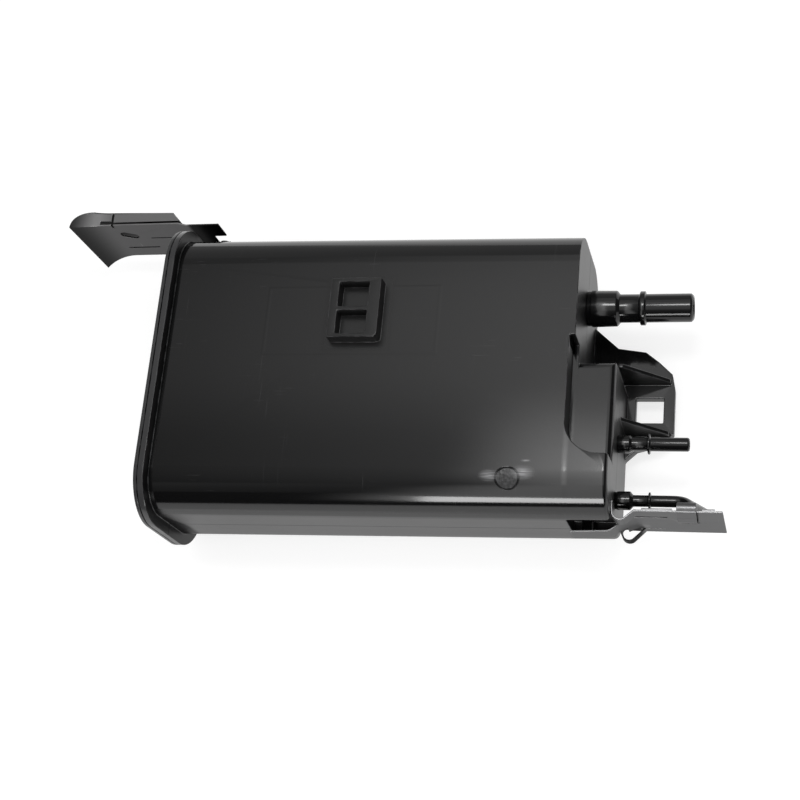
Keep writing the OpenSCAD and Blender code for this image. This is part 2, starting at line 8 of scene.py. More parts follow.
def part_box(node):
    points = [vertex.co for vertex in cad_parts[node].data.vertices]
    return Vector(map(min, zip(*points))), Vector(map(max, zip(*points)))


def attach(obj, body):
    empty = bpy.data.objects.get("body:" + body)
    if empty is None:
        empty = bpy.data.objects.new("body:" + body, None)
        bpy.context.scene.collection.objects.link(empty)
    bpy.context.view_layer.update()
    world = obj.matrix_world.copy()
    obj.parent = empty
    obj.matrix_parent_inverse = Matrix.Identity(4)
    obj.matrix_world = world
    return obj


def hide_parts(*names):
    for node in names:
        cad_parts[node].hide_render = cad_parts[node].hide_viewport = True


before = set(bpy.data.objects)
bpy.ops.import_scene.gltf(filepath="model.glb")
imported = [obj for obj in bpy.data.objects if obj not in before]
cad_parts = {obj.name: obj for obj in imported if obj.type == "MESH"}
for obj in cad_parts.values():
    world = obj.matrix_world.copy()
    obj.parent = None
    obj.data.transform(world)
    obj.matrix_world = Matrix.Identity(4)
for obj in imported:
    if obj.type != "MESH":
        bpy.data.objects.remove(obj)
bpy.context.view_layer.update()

scene = bpy.context.scene
print("frame loaded:", len(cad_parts), "nodes")


def at(x, y, z):  # millimetres from the middle of the cover's rim to metres in the shared frame
    return Vector((x - 152.8, y - 9.5, z + 58.8)) / 1000


# small helpers for node trees

def addNode(tree, kind, inputs=None, **settings):
    n = tree.nodes.new(kind)
    for key, val in settings.items():
        setattr(n, key, val)
    for key, val in (inputs or {}).items():
        if isinstance(val, bpy.types.NodeSocket):
            tree.links.new(val, n.inputs[key])
        else:
            n.inputs[key].default_value = val
    return n


def calc(tree, op, *vals):
    return addNode(tree, "ShaderNodeMath", dict(enumerate(vals)), operation=op).outputs[0]


def times(tree, first, *others):
    for val in others:
        first = calc(tree, "MULTIPLY", first, val)
    return first


def most(tree, first, *others):
    for val in others:
        first = calc(tree, "MAXIMUM", first, val)
    return first


def ramp(tree, val, low, high, outLow=0.0, outHigh=1.0, kind="SMOOTHSTEP"):
    return addNode(tree, "ShaderNodeMapRange", {
        "Value": val, "From Min": low, "From Max": high, "To Min": outLow, "To Max": outHigh},
        interpolation_type=kind).outputs[0]


def below(tree, val, limit, soft):
    return ramp(tree, val, limit - soft, limit + soft, 1, 0)


def beyond(tree, val, limit, soft):
    return ramp(tree, val, limit - soft, limit + soft)


def onLine(tree, val, where, inner, outer):
    return ramp(tree, calc(tree, "ABSOLUTE", calc(tree, "SUBTRACT", val, where)), inner, outer, 1, 0)


def splitXyz(tree, vector):
    return addNode(tree, "ShaderNodeSeparateXYZ", {0: vector}).outputs


def objectPlace(tree):
    return addNode(tree, "ShaderNodeTexCoord").outputs["Object"]


def facingOf(tree):
    return splitXyz(tree, addNode(tree, "ShaderNodeNewGeometry").outputs["Normal"])


def outside(tree, xyz, mid, halfX, halfY):  # distance from a rectangle's outline, negative inside it
    dx = calc(tree, "ABSOLUTE", calc(tree, "SUBTRACT", xyz[0], mid.x))
    dy = calc(tree, "ABSOLUTE", calc(tree, "SUBTRACT", xyz[1], mid.y))
    return most(tree, calc(tree, "SUBTRACT", dx, halfX), calc(tree, "SUBTRACT", dy, halfY))


def spot(tree, xyz, mid, rx, ry):  # distance from a spot's middle, 1 on its outline
    dx = calc(tree, "DIVIDE", calc(tree, "SUBTRACT", xyz[0], mid.x), rx)
    dy = calc(tree, "DIVIDE", calc(tree, "SUBTRACT", xyz[1], mid.y), ry)
    return calc(tree, "SQRT", calc(tree, "ADD", times(tree, dx, dx), times(tree, dy, dy)))


def noise(tree, place, scale, detail=3.0, rough=0.5):
    return addNode(tree, "ShaderNodeTexNoise", {
        "Vector": place, "Scale": scale, "Detail": detail, "Roughness": rough}).outputs["Fac"]


def stretched(tree, place, scale, turn=(0, 0, 0)):
    return addNode(tree, "ShaderNodeMapping", {"Vector": place, "Scale": scale, "Rotation": turn}).outputs[0]


def seenDirectly(tree):  # camera, mirror and see-through rays
    rays = addNode(tree, "ShaderNodeLightPath").outputs
    return most(tree, rays["Is Camera Ray"], rays["Is Glossy Ray"], rays["Is Transmission Ray"])


# camera, floor and studio light

view = {"place": (0.307471, -0.390964, 1.08604), "lens": 71.48, "sensor": 36, "clip": (0.01, 50),
        "right": (0.96637, 0.08978, -0.24096), "up": (-0.0023, 0.94005, 0.34102),
        "back": (0.25714, -0.329, 0.90865)}

camData = bpy.data.cameras.new("camera")
camData.lens = view["lens"]
camData.sensor_width = view["sensor"]
camData.clip_start, camData.clip_end = view["clip"]
camera = bpy.data.objects.new("camera", camData)
turn = Matrix((view["right"], view["up"], view["back"])).transposed()
camera.matrix_world = Matrix.Translation(view["place"]) @ turn.to_4x4()
scene.collection.objects.link(camera)
scene.camera = camera
scene.view_settings.view_transform = "Standard"

studio = {"white": (1, 1, 1, 1), "ambient": 0.7, "floorLift": 0.73, "floorPaint": (0.4, 0.4, 0.4, 1),
          "floorSize": 8, "floorZ": -0.0004}

world = bpy.data.worlds.new("studio")
world.use_nodes = True
scene.world = world
tree = world.node_tree
tree.nodes.clear()
room = addNode(tree, "ShaderNodeBackground", {"Color": studio["white"], "Strength": studio["ambient"]})
plain = addNode(tree, "ShaderNodeBackground", {"Color": studio["white"], "Strength": 1.0})
mixed = addNode(tree, "ShaderNodeMixShader", {0: seenDirectly(tree), 1: room.outputs[0], 2: plain.outputs[0]})
addNode(tree, "ShaderNodeOutputWorld", {"Surface": mixed.outputs[0]})


def sheetMesh(name, centre, across, along):
    a, b = Vector(across) / 2, Vector(along) / 2
    mesh = bpy.data.meshes.new(name)
    mesh.from_pydata([Vector(centre) + p for p in (-a - b, a - b, a + b, b - a)], [], [(0, 1, 2, 3)])
    piece = bpy.data.objects.new(name, mesh)
    scene.collection.objects.link(piece)
    return piece


def sheetPaint(name, piece):
    paint = bpy.data.materials.new(name)
    paint.use_nodes = True
    paint.node_tree.nodes.clear()
    piece.data.materials.append(paint)
    return paint.node_tree


floor = sheetMesh("floor", (0, 0, studio["floorZ"]), (studio["floorSize"], 0, 0), (0, studio["floorSize"], 0))
tree = sheetPaint("floorPaint", floor)
matt = addNode(tree, "ShaderNodeBsdfDiffuse", {"Color": studio["floorPaint"]})
lift = times(tree, seenDirectly(tree), studio["floorLift"])
glow = addNode(tree, "ShaderNodeEmission", {"Color": studio["white"], "Strength": lift})
both = addNode(tree, "ShaderNodeAddShader", {0: matt.outputs[0], 1: glow.outputs[0]})
addNode(tree, "ShaderNodeOutputMaterial", {"Surface": both.outputs[0]})

# cards round the table and a ceiling, which only the gloss of the piece sees
# a layer adds the product of its ramps to the glow: axis, from, to, low and high value, kind
nearCorner = [(2, 0.16, 0.42), (0, 0.07, 0.13, 1, 0)]
overCorner = [(0, 0.05, 0.12, 1, 0.15), (1, 0.45, 0.58, 1, 0), (1, -0.6, 0.42, 0.6, 1, "LINEAR")]
cards = {
    "nearCard": {"centre": at(60, -1100, 811), "across": (4.0, 0, 0), "along": (0, 0, 1.739), "glow": 0.004,
                 "layers": [[(2, 0.4, 1.6, 0, 0.276)],
                            [(0, -0.37, -0.1, 0, 1.8)] + nearCorner,
                            [(0, -0.37, -0.1), (0, -0.31, -0.22), (2, 0.34, 0.6, 1.2, 0)] + nearCorner]},
    "rightCard": {"centre": at(1500, 400, 811), "across": (0, 3.0, 0), "along": (0, 0, 1.739), "glow": 0.1,
                  "layers": []},
    "farCard": {"centre": at(150, 1900, 811), "across": (4.0, 0, 0), "along": (0, 0, 1.739), "glow": 0.45,
                "layers": []},
    "ceiling": {"centre": at(150, 400, 1680), "across": (4.0, 0, 0), "along": (0, 3.0, 0), "glow": 0.0,
                "layers": [[(0, -0.84, -0.13, 0.56, 1.45, "LINEAR"), (1, 0.44, 0.62, 0.52, 1.0),
                            (1, 0.75, 0.95, 1.0, 0.65), (1, -1.0, 0.42, 0.55, 1.0, "LINEAR")],
                           [(0, -0.07, 0.06, 0, 2.5)] + overCorner,
                           [(0, -0.32, -0.1, 0, 2.9)] + overCorner]}}
for name, cfg in cards.items():
    card = sheetMesh(name, cfg["centre"], cfg["across"], cfg["along"])
    tree = sheetPaint(name + "Paint", card)
    xyz = splitXyz(tree, objectPlace(tree))
    strength = cfg["glow"]
    for layer in cfg["layers"]:
        ramps = [ramp(tree, xyz[axis], *limits) for axis, *limits in layer]
        strength = calc(tree, "ADD", times(tree, *ramps), strength)
    glow = addNode(tree, "ShaderNodeEmission", {"Color": studio["white"], "Strength": strength})
    addNode(tree, "ShaderNodeOutputMaterial", {"Surface": glow.outputs[0]})
    card.visible_camera = False
    card.visible_diffuse = False
    card.visible_shadow = False

softboxes = {
    "overhead": {"place": at(370, 115, 1000), "aim": at(370, 115, 0), "size": (0.28, 0.17), "power": 2.4},
    "nearSide": {"place": at(269, -733, 200), "aim": at(269, -80, 40), "size": (0.436, 0.16), "power": 2.3}}
for name, box in softboxes.items():
    lamp = bpy.data.lights.new(name, "AREA")
    lamp.shape = "RECTANGLE"
    lamp.size, lamp.size_y = box["size"]
    lamp.energy = box["power"]
    lampObj = bpy.data.objects.new(name, lamp)
    lampObj.location = box["place"]
    lampObj.rotation_euler = (box["aim"] - box["place"]).to_track_quat("-Z", "Y").to_euler()
    lampObj.visible_camera = False
    scene.collection.objects.link(lampObj)
print("camera, floor and light ready")


# shader groups shared by the finishes

def newGroup(name, ins, outs):
    g = bpy.data.node_groups.new(name, "ShaderNodeTree")
    for label, val in ins:
        g.interface.new_socket(label, in_out="INPUT", socket_type="NodeSocketFloat").default_value = val
    for label in outs:
        g.interface.new_socket(label, in_out="OUTPUT", socket_type="NodeSocketFloat")
    return g, g.nodes.new("NodeGroupInput").outputs, g.nodes.new("NodeGroupOutput").inputs


# fine skin of a moulding or a rolled sheet, with faint streaks along the case
skinGroup, gin, gout = newGroup("surfaceSkin", [("Grain Scale", 900.0), ("Streaks", 0.3)], ["Height", "Shade"])
place = objectPlace(skinGroup)
fine = noise(skinGroup, place, gin["Grain Scale"], 2.0)
streaks = noise(skinGroup, stretched(skinGroup, place, (6, 150, 150)), 1.0, 4.0, 0.6)
cloud = noise(skinGroup, place, 14.0, 4.0, 0.55)
skinGroup.links.new(calc(skinGroup, "MULTIPLY_ADD", streaks, gin["Streaks"], fine), gout["Height"])
skinGroup.links.new(calc(skinGroup, "MULTIPLY_ADD", streaks, gin["Streaks"], cloud), gout["Shade"])

# wear on the rounded edges, read from the piece's own attribute
rubGroup, gin, gout = newGroup("edgeRub", [("Patch Scale", 160.0), ("Amount", 0.5)], ["Mask"])
edge = addNode(rubGroup, "ShaderNodeAttribute", attribute_name="rub").outputs["Fac"]
patchy = ramp(rubGroup, noise(rubGroup, objectPlace(rubGroup), gin["Patch Scale"]), 0.42, 0.62)
rubGroup.links.new(times(rubGroup, edge, patchy, gin["Amount"]), gout["Mask"])

# hair-fine scratches in two directions
scratchGroup, gin, gout = newGroup("fineScratches", [("Density", 0.5)], ["Mask"])
place = objectPlace(scratchGroup)
runs = []
for turn, scale in (((0.1, 0.05, 0.5), (900, 14, 60)), ((0.3, 0.6, -0.35), (60, 1100, 20))):
    lines = noise(scratchGroup, stretched(scratchGroup, place, scale, turn), 1.0, 1.0)
    runs.append(ramp(scratchGroup, lines, 0.70, 0.76))
patchy = ramp(scratchGroup, noise(scratchGroup, place, 26.0, 2.0), 0.5, 0.68)
scratchGroup.links.new(times(scratchGroup, most(scratchGroup, *runs), patchy, gin["Density"]), gout["Mask"])
print("shader groups ready")


# finishes

def useGroup(tree, group, values):
    n = addNode(tree, "ShaderNodeGroup", node_tree=group)
    for key, val in values.items():
        n.inputs[key].default_value = val
    return n.outputs


def newFinish(name, **sockets):
    mat = bpy.data.materials.new(name)
    mat.use_nodes = True
    shader = mat.node_tree.nodes["Principled BSDF"]
    for key, val in sockets.items():
        shader.inputs[key].default_value = val
    return mat, mat.node_tree, shader


def tint(tree, mask, first, second):
    n = addNode(tree, "ShaderNodeMix", {0: mask}, data_type="RGBA")
    for socket, val in ((n.inputs[6], first), (n.inputs[7], second)):
        if isinstance(val, bpy.types.NodeSocket):
            tree.links.new(val, socket)
        else:
            socket.default_value = val + (1,)
    return n.outputs[2]


def bump(tree, shader, height, strength, distance):
    n = addNode(tree, "ShaderNodeBump", {"Height": height, "Strength": strength, "Distance": distance})
    tree.links.new(n.outputs[0], shader.inputs["Normal"])


# satin black case, with a weld rim, a round mark and scuffs on the large face, and a sink near the spigot end
caseLook = {
    "black": (0.004, 0.004, 0.0042), "worn": (0.05, 0.05, 0.052), "weld": (0.034, 0.034, 0.035),
    "scuffed": (0.24, 0.24, 0.245), "specular": 0.46, "darkSpecular": 0.05, "darkLinesAndShade": 0.75,
    "gloss": 0.06, "glossSpread": 0.06, "dullMark": 0.22, "dullWall": 0.28, "dullWeld": 0.084, "dullFrame": 0.2,
    "faceZ": 0.0875, "partingZ": 0.0598, "weldX": at(7.8, 0, 0).x, "jointX": at(2.9, 0, 0).x,
    "sinkX": at(298, 0, 0).x, "panel": (at(143, 31.5, 0), 0.062, 0.0245),
    "frame": (at(148, 36.5, 0), 0.021, 0.0245), "mark": (at(260.5, -80.9, 0), 0.0078, 0.007),
    "scuffs": [(at(248.5, -79.5, 0), 0.008, 0.0045), (at(270.5, -77.2, 0), 0.0095, 0.0055),
               (at(272.5, -69.2, 0), 0.004, 0.0012)],
    "nearWallShadeZ": (0.05, 0.085), "nearWallShadeReach": (0.013, 0.003)}
casePlastic, tree, shader = newFinish("casePlastic")
skin = useGroup(tree, skinGroup, {"Grain Scale": 1400.0, "Streaks": 0.35})
rub = useGroup(tree, rubGroup, {"Patch Scale": 140.0, "Amount": 0.55})
hair = useGroup(tree, scratchGroup, {"Density": 0.3})
place = objectPlace(tree)
xyz = splitXyz(tree, place)
facing = facingOf(tree)

# the large face: panel outline, raised frame, round mark, scuffs
onFace = beyond(tree, xyz[2], caseLook["faceZ"], 0.0025)
panelEdge = calc(tree, "ABSOLUTE", outside(tree, xyz, *caseLook["panel"]))
panel = times(tree, ramp(tree, panelEdge, 0.0003, 0.0016, 1, 0), onFace)
framed = times(tree, ramp(tree, outside(tree, xyz, *caseLook["frame"]), 0, 0.006, 1, 0), onFace)
reach = spot(tree, xyz, *caseLook["mark"])
ring = times(tree, onLine(tree, reach, 1.0, 0.03, 0.11), onFace)
disc = times(tree, ramp(tree, reach, 0.9, 0.97, 1, 0), onFace)
scuffs = [ramp(tree, spot(tree, xyz, *one), 0.0, 1.05, 1, 0) for one in caseLook["scuffs"]]
streaky = ramp(tree, noise(tree, stretched(tree, place, (90, 1600, 90)), 1.0, 4.0), 0.35, 0.65, 0.4, 1.0)
scuff = times(tree, most(tree, *scuffs), onFace, streaky)

# the weld rim, with painted shade (low specular) on its inner side and beside it, and painted shade on the near
# wall beside the rim
upright = ramp(tree, calc(tree, "ABSOLUTE", facing[2]), 0.2, 0.45, 1, 0)
weldX = caseLook["weldX"]
rim = below(tree, xyz[0], weldX, 0.0004)
# painted shade: the rim's inner side is kept black and low in specular
shadedInnerSide = times(tree, rim, ramp(tree, facing[0], 0.3, 0.6))
weld = calc(tree, "SUBTRACT", rim, shadedInnerSide)
joint = onLine(tree, xyz[0], caseLook["jointX"], 0.0002, 0.0007)
# painted shade: a band of the case just beside the rim
besideRimShade = times(tree, beyond(tree, xyz[0], weldX, 0.0004), below(tree, xyz[0], weldX + 0.002, 0.001))
# painted shade on the near wall beside the rim, wider lower down
nearWallShadeEnd = ramp(tree, xyz[2], *caseLook["nearWallShadeZ"], *(weldX + v for v in caseLook["nearWallShadeReach"]))
nearWallShade = ramp(tree, calc(tree, "SUBTRACT", xyz[0], nearWallShadeEnd), -0.003, 0.004, 1, 0)
nearWall = ramp(tree, facing[1], -0.9, -0.7, 1, 0)
nearWallShade = times(tree, nearWallShade, nearWall, calc(tree, "SUBTRACT", 1.0, weld))

# heights in millimetres
parting = below(tree, xyz[2], caseLook["partingZ"], 0.0005)
sink = below(tree, xyz[0], caseLook["sinkX"], 0.0025)
rough = times(tree, disc, noise(tree, place, 700.0))
height = 0.0
for mask, depth in ((skin["Height"], 0.006), (parting, 0.25), (panel, 0.02), (ring, -0.4), (joint, -0.3),
                    (rough, 0.2), (sink, 0.11)):
    height = calc(tree, "MULTIPLY_ADD", mask, depth, height)
bump(tree, shader, height, 1.0, 0.001)

patchy = times(tree, disc, ramp(tree, noise(tree, place, 450.0), 0.4, 0.65, 0.1, 0.6))
base = tint(tree, calc(tree, "SUBTRACT", weld, joint), caseLook["black"], caseLook["weld"])
worn = tint(tree, most(tree, rub["Mask"], hair["Mask"], patchy), base, caseLook["worn"])
tree.links.new(tint(tree, scuff, worn, caseLook["scuffed"]), shader.inputs["Base Color"])
walls = most(tree, times(tree, upright, caseLook["dullWall"]), times(tree, weld, caseLook["dullWeld"]))
gloss = calc(tree, "MULTIPLY_ADD", skin["Shade"], caseLook["glossSpread"], caseLook["gloss"])
gloss = calc(tree, "MULTIPLY_ADD", most(tree, disc, scuff), caseLook["dullMark"], gloss)
gloss = calc(tree, "MULTIPLY_ADD", framed, caseLook["dullFrame"], calc(tree, "ADD", gloss, walls))
tree.links.new(gloss, shader.inputs["Roughness"])
# low specular on the ring and joint lines, and painted shade on the rim's inner side, beside the rim and on the
# near wall
dark = most(tree, times(tree, most(tree, ring, joint, besideRimShade, shadedInnerSide), caseLook["darkLinesAndShade"]), nearWallShade)
tree.links.new(ramp(tree, dark, 0, 1, caseLook["specular"], caseLook["darkSpecular"]),
               shader.inputs["Specular IOR Level"])

# glossier black of the spigots
spigotLook = {"black": (0.004, 0.004, 0.0043), "worn": (0.03, 0.03, 0.031), "specular": 0.38, "gloss": 0.08,
              "glossSpread": 0.06}
spigotPlastic, tree, shader = newFinish("spigotPlastic", **{"Specular IOR Level": spigotLook["specular"]})
skin = useGroup(tree, skinGroup, {"Grain Scale": 2200.0, "Streaks": 0.2})
rub = useGroup(tree, rubGroup, {"Patch Scale": 300.0, "Amount": 0.4})
tree.links.new(tint(tree, rub["Mask"], spigotLook["black"], spigotLook["worn"]), shader.inputs["Base Color"])
tree.links.new(calc(tree, "MULTIPLY_ADD", skin["Shade"], spigotLook["glossSpread"], spigotLook["gloss"]),
               shader.inputs["Roughness"])
bump(tree, shader, skin["Height"], 0.08, 0.00003)

# dark sheet steel of the clips, with painted shade (near-black steel) on the guide's mouth and far edge,
# beside the rim, round the eye and in the slits
clipLook = {
    "guide": (0.12, 0.119, 0.12), "lip": (0.26, 0.258, 0.26), "spring": (0.13, 0.13, 0.132),
    "paintedShade": (0.03, 0.03, 0.03), "bare": (0.42, 0.41, 0.41), "guideRim": (0.45, 0.45, 0.45),
    "springRim": (0.62, 0.62, 0.62), "paintedShadeRim": (0.4, 0.4, 0.4), "gloss": 0.23, "glossSpread": 0.14,
    "mouthX": (at(-92, 0, 0).x, at(-64, 0, 0).x), "rimX": at(-2, 0, 0).x, "backY": at(0, 131.2, 0).y,
    "eye": (at(334, -99, 0), 0.009, 0.009), "eyeTop": at(0, 0, -15).z,
    "slits": [(-62, 0, -20, 20), (341, 362, 9, 13), (341, 361, -18, -16), (366, 380, -5, 2)]}
clipSteel, tree, shader = newFinish("clipSteel", Metallic=1.0)
skin = useGroup(tree, skinGroup, {"Grain Scale": 1800.0, "Streaks": 0.6})
rub = useGroup(tree, rubGroup, {"Patch Scale": 220.0, "Amount": 0.2})
hair = useGroup(tree, scratchGroup, {"Density": 0.3})
xyz = splitXyz(tree, objectPlace(tree))
facing = facingOf(tree)
farClip = ramp(tree, xyz[1], -0.02, 0.0)
# painted shade: the mouth, the eye, the strip beside the rim, the far edge and the slits are darkened
mouth = ramp(tree, xyz[0], *clipLook["mouthX"], 0.95, 0)
eye = times(tree, ramp(tree, spot(tree, xyz, *clipLook["eye"]), 0.8, 1.2, 0.95, 0),
            below(tree, xyz[2], clipLook["eyeTop"], 0.001))
beside = times(tree, beyond(tree, xyz[0], clipLook["rimX"], 0.002), farClip)
farEdge = beyond(tree, xyz[1], clipLook["backY"], 0.0003)
slits = []
for x0, x1, z0, z1 in clipLook["slits"]:
    first, last = at(x0, 0, z0), at(x1, 0, z1)
    inX = calc(tree, "COMPARE", xyz[0], (first.x + last.x) / 2, (last.x - first.x) / 2)
    inZ = calc(tree, "COMPARE", xyz[2], (first.z + last.z) / 2, (last.z - first.z) / 2)
    slits.append(times(tree, inX, inZ))
slit = times(tree, most(tree, *slits), ramp(tree, calc(tree, "ABSOLUTE", facing[1]), 0.3, 0.6, 1, 0))
# painted shade: near-black steel colour and a low specular tint where these masks reach
paintedShade = times(tree, most(tree, mouth, eye, beside, slit, farEdge), ramp(tree, skin["Shade"], 0.2, 0.6, 0.85, 1.0))
wear = times(tree, most(tree, rub["Mask"], hair["Mask"]), calc(tree, "SUBTRACT", 1.0, paintedShade))
# painted light: faces of the guide that face up get a lighter steel colour
guide = tint(tree, ramp(tree, facing[2], 0.5, 0.8), clipLook["guide"], clipLook["lip"])
steel = tint(tree, paintedShade, tint(tree, farClip, clipLook["spring"], guide), clipLook["paintedShade"])
tree.links.new(tint(tree, wear, steel, clipLook["bare"]), shader.inputs["Base Color"])
edgeTone = tint(tree, farClip, clipLook["springRim"], clipLook["guideRim"])
tree.links.new(tint(tree, paintedShade, edgeTone, clipLook["paintedShadeRim"]), shader.inputs["Specular Tint"])
tree.links.new(calc(tree, "MULTIPLY_ADD", skin["Shade"], clipLook["glossSpread"], clipLook["gloss"]),
               shader.inputs["Roughness"])
bump(tree, shader, skin["Height"], 0.2, 0.00004)

# fillings and inner plates
insideLooks = {
    "carbonGranules": {"dark": (0.006, 0.006, 0.006), "pale": (0.035, 0.035, 0.036), "size": 420.0,
                       "rough": 0.85, "depth": 0.001},
    "fleecePad": {"dark": (0.42, 0.41, 0.37), "pale": (0.66, 0.65, 0.6), "size": 1500.0,
                  "rough": 0.95, "depth": 0.0004},
    "gridPlastic": {"dark": (0.02, 0.02, 0.02), "pale": (0.05, 0.05, 0.05), "size": 700.0,
                    "rough": 0.5, "depth": 0.0001}}
insideMats = {}
for name, look in insideLooks.items():
    mat, tree, shader = newFinish(name)
    place = objectPlace(tree)
    if name == "carbonGranules":
        cells = addNode(tree, "ShaderNodeTexVoronoi", {"Vector": place, "Scale": look["size"]})
        val = ramp(tree, cells.outputs["Distance"], 0.1, 0.75, 1, 0)
    else:
        val = ramp(tree, noise(tree, place, look["size"], 4.0, 0.65), 0.3, 0.7)
    tree.links.new(tint(tree, val, look["dark"], look["pale"]), shader.inputs["Base Color"])
    tree.links.new(calc(tree, "MULTIPLY_ADD", val, -0.12, look["rough"]), shader.inputs["Roughness"])
    bump(tree, shader, val, 0.6, look["depth"])
    insideMats[name] = mat

springLook = {"steel": (0.5, 0.5, 0.51), "dull": (0.26, 0.25, 0.24), "gloss": 0.2, "glossSpread": 0.2}
springWire, tree, shader = newFinish("springWire", Metallic=1.0)
skin = useGroup(tree, skinGroup, {"Grain Scale": 900.0, "Streaks": 0.3})
tree.links.new(tint(tree, skin["Shade"], springLook["steel"], springLook["dull"]), shader.inputs["Base Color"])
tree.links.new(calc(tree, "MULTIPLY_ADD", skin["Shade"], springLook["glossSpread"], springLook["gloss"]),
               shader.inputs["Roughness"])
bump(tree, shader, skin["Height"], 0.2, 0.00005)
print("finishes ready:", len(bpy.data.materials))


# pieces that keep the frame's shape get rounded edges, clean shading and a mark on each worn edge

rounding = {"steps": 2, "from": math.radians(40), "merge": 5e-5, "flat": math.radians(0.6),
            "square": math.radians(60), "strays": 0.7}


def dressed(nodeName, cfg):
    bm = bmesh.new()
    bm.from_mesh(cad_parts[nodeName].data)
    bmesh.ops.remove_doubles(bm, verts=bm.verts, dist=rounding["merge"])
    bmesh.ops.dissolve_degenerate(bm, edges=bm.edges, dist=1e-6)
    bmesh.ops.join_triangles(bm, faces=bm.faces, angle_face_threshold=rounding["flat"],
                             angle_shape_threshold=rounding["square"])
    skinOf = BVHTree.FromBMesh(bm)
    mesh = bpy.data.meshes.new(nodeName + "Shape")
    bm.to_mesh(mesh)
    bm.free()
    mesh.materials.clear()
    for _ in range(2):  # the second slot marks the rounded edges
        mesh.materials.append(cfg["finish"])
    for poly in mesh.polygons:
        poly.material_index = 0
        poly.use_smooth = True
    piece = bpy.data.objects.new(cfg["name"], mesh)
    scene.collection.objects.link(piece)
    bevel = piece.modifiers.new("round", "BEVEL")
    bevel.width = cfg["edge"]
    bevel.segments = rounding["steps"]
    bevel.limit_method = "ANGLE"
    bevel.angle_limit = rounding["from"]
    bevel.use_clamp_overlap = False
    bevel.material = 1
    bevel.miter_outer = "MITER_ARC"
    piece.modifiers.new("shade", "WEIGHTED_NORMAL").keep_sharp = True
    done = bpy.data.meshes.new_from_object(piece.evaluated_get(bpy.context.evaluated_depsgraph_get()))
    low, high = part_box(nodeName)  # a bevelled corner stays on the node's skin and in its box
    for v in done.vertices:
        onSkin, _, _, gap = skinOf.find_nearest(v.co)
        if gap > cfg["edge"] * rounding["strays"]:
            v.co = onSkin
        v.co = [min(max(c, a), b) for c, a, b in zip(v.co, low, high)]
    rubbed = [float(p.material_index) for p in done.polygons]
    done.attributes.new("rub", "FLOAT", "FACE").data.foreach_set("value", rubbed)
    done.materials.clear()
    done.materials.append(cfg["finish"])
    for poly in done.polygons:
        poly.material_index = 0
    piece.modifiers.clear()
    piece.data = done
    done.name = cfg["name"]
    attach(piece, "root")
    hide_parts(nodeName)
    print(cfg["name"], len(done.polygons), "faces")


shells = {
    "canister_body": {"name": "caseBody", "edge": 0.0006, "finish": casePlastic, "slot": "case_plastic"},
    "end_cover": {"name": "caseCover", "edge": 0.0005, "finish": casePlastic, "slot": "case_plastic"},
    "guide_clip": {"name": "guideClip", "edge": 0.0002, "finish": clipSteel, "slot": "clip_steel"},
    "spring_clip": {"name": "springClip", "edge": 0.00025, "finish": clipSteel, "slot": "clip_steel"}}
for nodeName, cfg in shells.items():
    dressed(nodeName, cfg)


# spigots: rings set along a path, out over the outside and back through the bore

def softened(points, size):  # takes the sharpness off each corner of a profile
    out = [points[0]]
    for a, b, c in zip(points, points[1:], points[2:]):
        first = b + (a - b).normalized() * min(size, (a - b).length * 0.4)
        last = b + (c - b).normalized() * min(size, (c - b).length * 0.4)
        out += [first, (first + b * 2 + last) / 4, last]
    return out + [points[-1]]


def sweptTube(cfg):
    outline = softened([Vector(p) for p in cfg["outside"]], cfg["soft"])
    bore = [Vector((outline[-1].x, cfg["bore"])), Vector((outline[0].x, cfg["bore"]))]
    bendX, bendR, bendA = cfg["bend"]
    stops = [bendX + bendR * bendA * i / 14 for i in range(15)]
    loop = []
    for a, b in zip(outline + bore, outline[1:] + bore):
        inner = [q for q in stops if min(a.x, b.x) < q < max(a.x, b.x)]
        loop += [a] + [a.lerp(b, (q - a.x) / (b.x - a.x)) for q in sorted(inner, reverse=b.x < a.x)]
    loop.append(bore[-1])
    bm = bmesh.new()
    rings = []
    for s, r in loop:
        over = min(max(s - bendX, 0), bendR * bendA) / bendR
        past = max(s - bendX - bendR * bendA, 0)
        up = Vector((math.sin(over), 0, math.cos(over)))
        centre = Vector((min(s, bendX), cfg["across"], 0)) + bendR * (up - Vector((0, 0, 1)))
        centre += past * Vector((math.cos(over), 0, -math.sin(over)))
        circle = []
        for k in range(cfg["around"]):
            a = 2 * math.pi * k / cfg["around"]
            p = centre + r * (math.cos(a) * up + math.sin(a) * Vector((0, 1, 0)))
            circle.append(bm.verts.new(at(*p)))
        rings.append(circle)
    for one, two in zip(rings, rings[1:] + rings[:1]):
        for k in range(cfg["around"]):
            bm.faces.new((one[k - 1], one[k], two[k], two[k - 1])).smooth = True
    bmesh.ops.recalc_face_normals(bm, faces=bm.faces)
    mesh = bpy.data.meshes.new(cfg["name"])
    bm.to_mesh(mesh)
    bm.free()
    mesh.materials.append(spigotPlastic)
    piece = bpy.data.objects.new(cfg["name"], mesh)
    scene.collection.objects.link(piece)
    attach(piece, "root")
    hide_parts(cfg["node"])
    print(cfg["name"], len(mesh.polygons), "faces")


